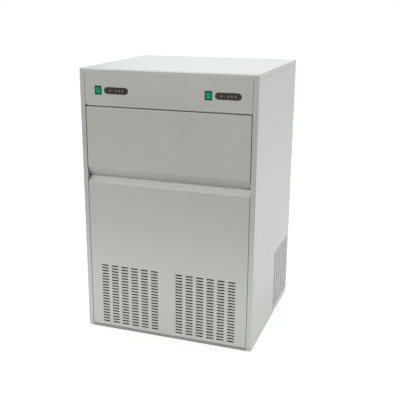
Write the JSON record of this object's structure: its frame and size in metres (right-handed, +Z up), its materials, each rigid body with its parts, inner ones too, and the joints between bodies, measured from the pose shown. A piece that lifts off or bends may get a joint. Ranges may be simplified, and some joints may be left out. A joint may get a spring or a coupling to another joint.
{
  "type": "ice machine",
  "caption": "Free-standing bullet-ice machine: slotted steel cabinet, flip-up bin door with a finger groove, and twin switches and displays.",
  "frame": {"origin": "on the floor under the middle of the cabinet", "axes": "+Z up, the front with the door and controls faces -Y, +X to the right seen from the front"},
  "size_m": [0.66, 0.6001, 1.005],
  "materials": {
    "cabinet_steel": "satin",
    "galvanised_sheet": "dull zinc",
    "white_plastic": "moulded",
    "black_plastic": "moulded",
    "switch_frame": "moulded",
    "green_lens": "translucent green",
    "dark_lens": "smoked",
    "circuit_board": "lacquered",
    "copper": "drawn tube",
    "nickel_plate": "plated",
    "aluminium_fins": "mill",
    "black_enamel": "baked enamel",
    "rubber": "soft"
  },
  "bodies": {
    "cabinet": {"base_pan": "cabinet_steel", "left_side_panel": "cabinet_steel", "right_side_panel": "cabinet_steel", "rear_panel": "cabinet_steel", "top_cover": "cabinet_steel", "control_fascia": "cabinet_steel", "lower_front_panel": "cabinet_steel", "middle_deck": "galvanised_sheet", "bin_tub": "white_plastic", "evaporator_deck": "galvanised_sheet", "door_hinge_pin_left": "cabinet_steel", "door_hinge_pin_right": "cabinet_steel", "relay_box": "galvanised_sheet", "water_inlet_valve": "white_plastic", "cable_gland": "black_plastic", "bin_drain_tube": "white_plastic", "switch_housing_left": "switch_frame", "display_lens_left": "dark_lens", "control_board_left": "circuit_board", "evaporator_left": "nickel_plate", "tray_motor_left": "galvanised_sheet", "condenser_left": "aluminium_fins", "fan_shroud_left": "black_enamel", "fan_motor_left": "black_enamel", "fan_bracket_left": "galvanised_sheet", "compressor_left": "black_enamel", "terminal_cover_left": "black_plastic", "filter_drier_left": "copper", "liquid_tube_left": "copper", "suction_tube_left": "copper", "discharge_tube_left": "copper", "condenser_tube_left": "copper", "fill_tube_left": "white_plastic", "switch_housing_right": "switch_frame", "display_lens_right": "dark_lens", "control_board_right": "circuit_board", "evaporator_right": "nickel_plate", "tray_motor_right": "galvanised_sheet", "condenser_right": "aluminium_fins", "fan_shroud_right": "black_enamel", "fan_motor_right": "black_enamel", "fan_bracket_right": "galvanised_sheet", "compressor_right": "black_enamel", "terminal_cover_right": "black_plastic", "filter_drier_right": "copper", "liquid_tube_right": "copper", "suction_tube_right": "copper", "discharge_tube_right": "copper", "condenser_tube_right": "copper", "fill_tube_right": "white_plastic"},
    "door": {"door_skin": "cabinet_steel", "door_liner": "white_plastic", "door_gasket": "rubber"},
    "rocker_left": {"rocker_left": "green_lens"},
    "tray_left": {"water_tray_left": "white_plastic"},
    "fan_left": {"fan_left": "black_plastic"},
    "rocker_right": {"rocker_right": "green_lens"},
    "tray_right": {"water_tray_right": "white_plastic"},
    "fan_right": {"fan_right": "black_plastic"}
  },
  "joints": [
    {"name": "door_hinge", "type": "hinge", "parent": "cabinet", "child": "door", "pos_m": [0, -0.2895, 0.8575], "axis": [-1, 0, 0], "range_deg": [0, 85]},
    {"name": "rocker_pivot_left", "type": "hinge", "parent": "cabinet", "child": "rocker_left", "pos_m": [-0.2573, -0.2943, 0.929], "axis": [1, 0, 0], "range_deg": [-16, 0]},
    {"name": "tray_tilt_left", "type": "hinge", "parent": "cabinet", "child": "tray_left", "pos_m": [-0.152, 0.05, 0.885], "axis": [1, 0, 0], "range_deg": [0, 75]},
    {"name": "fan_spin_left", "type": "hinge", "parent": "cabinet", "child": "fan_left", "pos_m": [-0.152, -0.2207, 0.1323], "axis": [0, 1, 0], "continuous": true},
    {"name": "rocker_pivot_right", "type": "hinge", "parent": "cabinet", "child": "rocker_right", "pos_m": [0.1557, -0.2943, 0.929], "axis": [1, 0, 0], "range_deg": [-16, 0]},
    {"name": "tray_tilt_right", "type": "hinge", "parent": "cabinet", "child": "tray_right", "pos_m": [0.152, 0.05, 0.885], "axis": [1, 0, 0], "range_deg": [0, 75]},
    {"name": "fan_spin_right", "type": "hinge", "parent": "cabinet", "child": "fan_right", "pos_m": [0.152, -0.2207, 0.1323], "axis": [0, 1, 0], "continuous": true}
  ]
}
